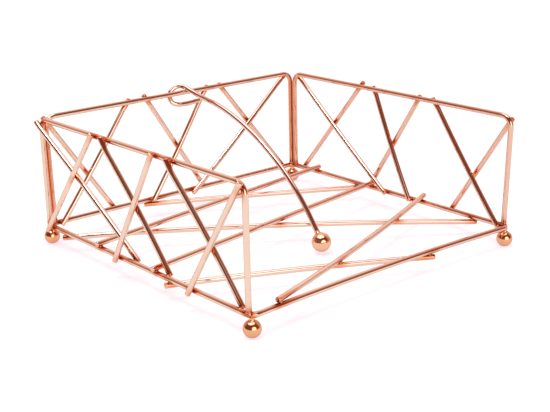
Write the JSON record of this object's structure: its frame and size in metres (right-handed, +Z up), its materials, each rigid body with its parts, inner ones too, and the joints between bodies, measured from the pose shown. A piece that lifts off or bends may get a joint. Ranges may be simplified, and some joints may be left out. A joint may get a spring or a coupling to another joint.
{
  "type": "napkin holder",
  "caption": "Squarish open-fronted wire tray on ball feet with a slanted-wire lattice for walls and floor, and a ball-weighted arm hinged on the back rail that keeps a stack of napkins flat.",
  "frame": {"origin": "on the table, under the middle of the box round the whole holder with its arm down", "axes": "+X to the right seen from the open front, +Y from the open front to the back wall, +Z up"},
  "size_m": [0.199, 0.1965, 0.0797],
  "materials": {
    "ring_plate": "polished copper-coloured plating on steel wire",
    "frame_plate": "polished copper-coloured plating on steel wire",
    "lattice_plate": "polished copper-coloured plating on steel wire",
    "arm_plate": "polished copper-coloured plating on steel wire",
    "ball_plate": "polished copper-coloured plating on steel balls"
  },
  "bodies": {
    "basket": {"base_ring": "ring_plate", "front_left_foot": "ball_plate", "front_right_foot": "ball_plate", "back_left_foot": "ball_plate", "back_right_foot": "ball_plate", "base_upper_wire_1": "lattice_plate", "base_upper_wire_2": "lattice_plate", "base_upper_wire_3": "lattice_plate", "base_lower_wire_1": "lattice_plate", "base_lower_wire_2": "lattice_plate", "base_lower_wire_3": "lattice_plate", "left_frame": "frame_plate", "left_outer_wire_1": "lattice_plate", "left_outer_wire_2": "lattice_plate", "left_outer_wire_3": "lattice_plate", "left_slanted_wire_1": "lattice_plate", "left_slanted_wire_2": "lattice_plate", "left_slanted_wire_3": "lattice_plate", "back_frame": "frame_plate", "back_outer_wire_1": "lattice_plate", "back_outer_wire_2": "lattice_plate", "back_outer_wire_3": "lattice_plate", "back_slanted_wire_1": "lattice_plate", "back_slanted_wire_2": "lattice_plate", "back_slanted_wire_3": "lattice_plate", "right_frame": "frame_plate", "right_outer_wire_1": "lattice_plate", "right_outer_wire_2": "lattice_plate", "right_outer_wire_3": "lattice_plate", "right_slanted_wire_1": "lattice_plate", "right_slanted_wire_2": "lattice_plate", "right_slanted_wire_3": "lattice_plate"},
    "arm": {"arm_wire": "arm_plate", "arm_ball": "ball_plate"}
  },
  "joints": [
    {"name": "arm_pivot", "type": "hinge", "parent": "basket", "child": "arm", "pos_m": [0.0078, 0.0919, 0.0744], "axis": [-1, 0, 0], "range_deg": [0, 235]}
  ]
}
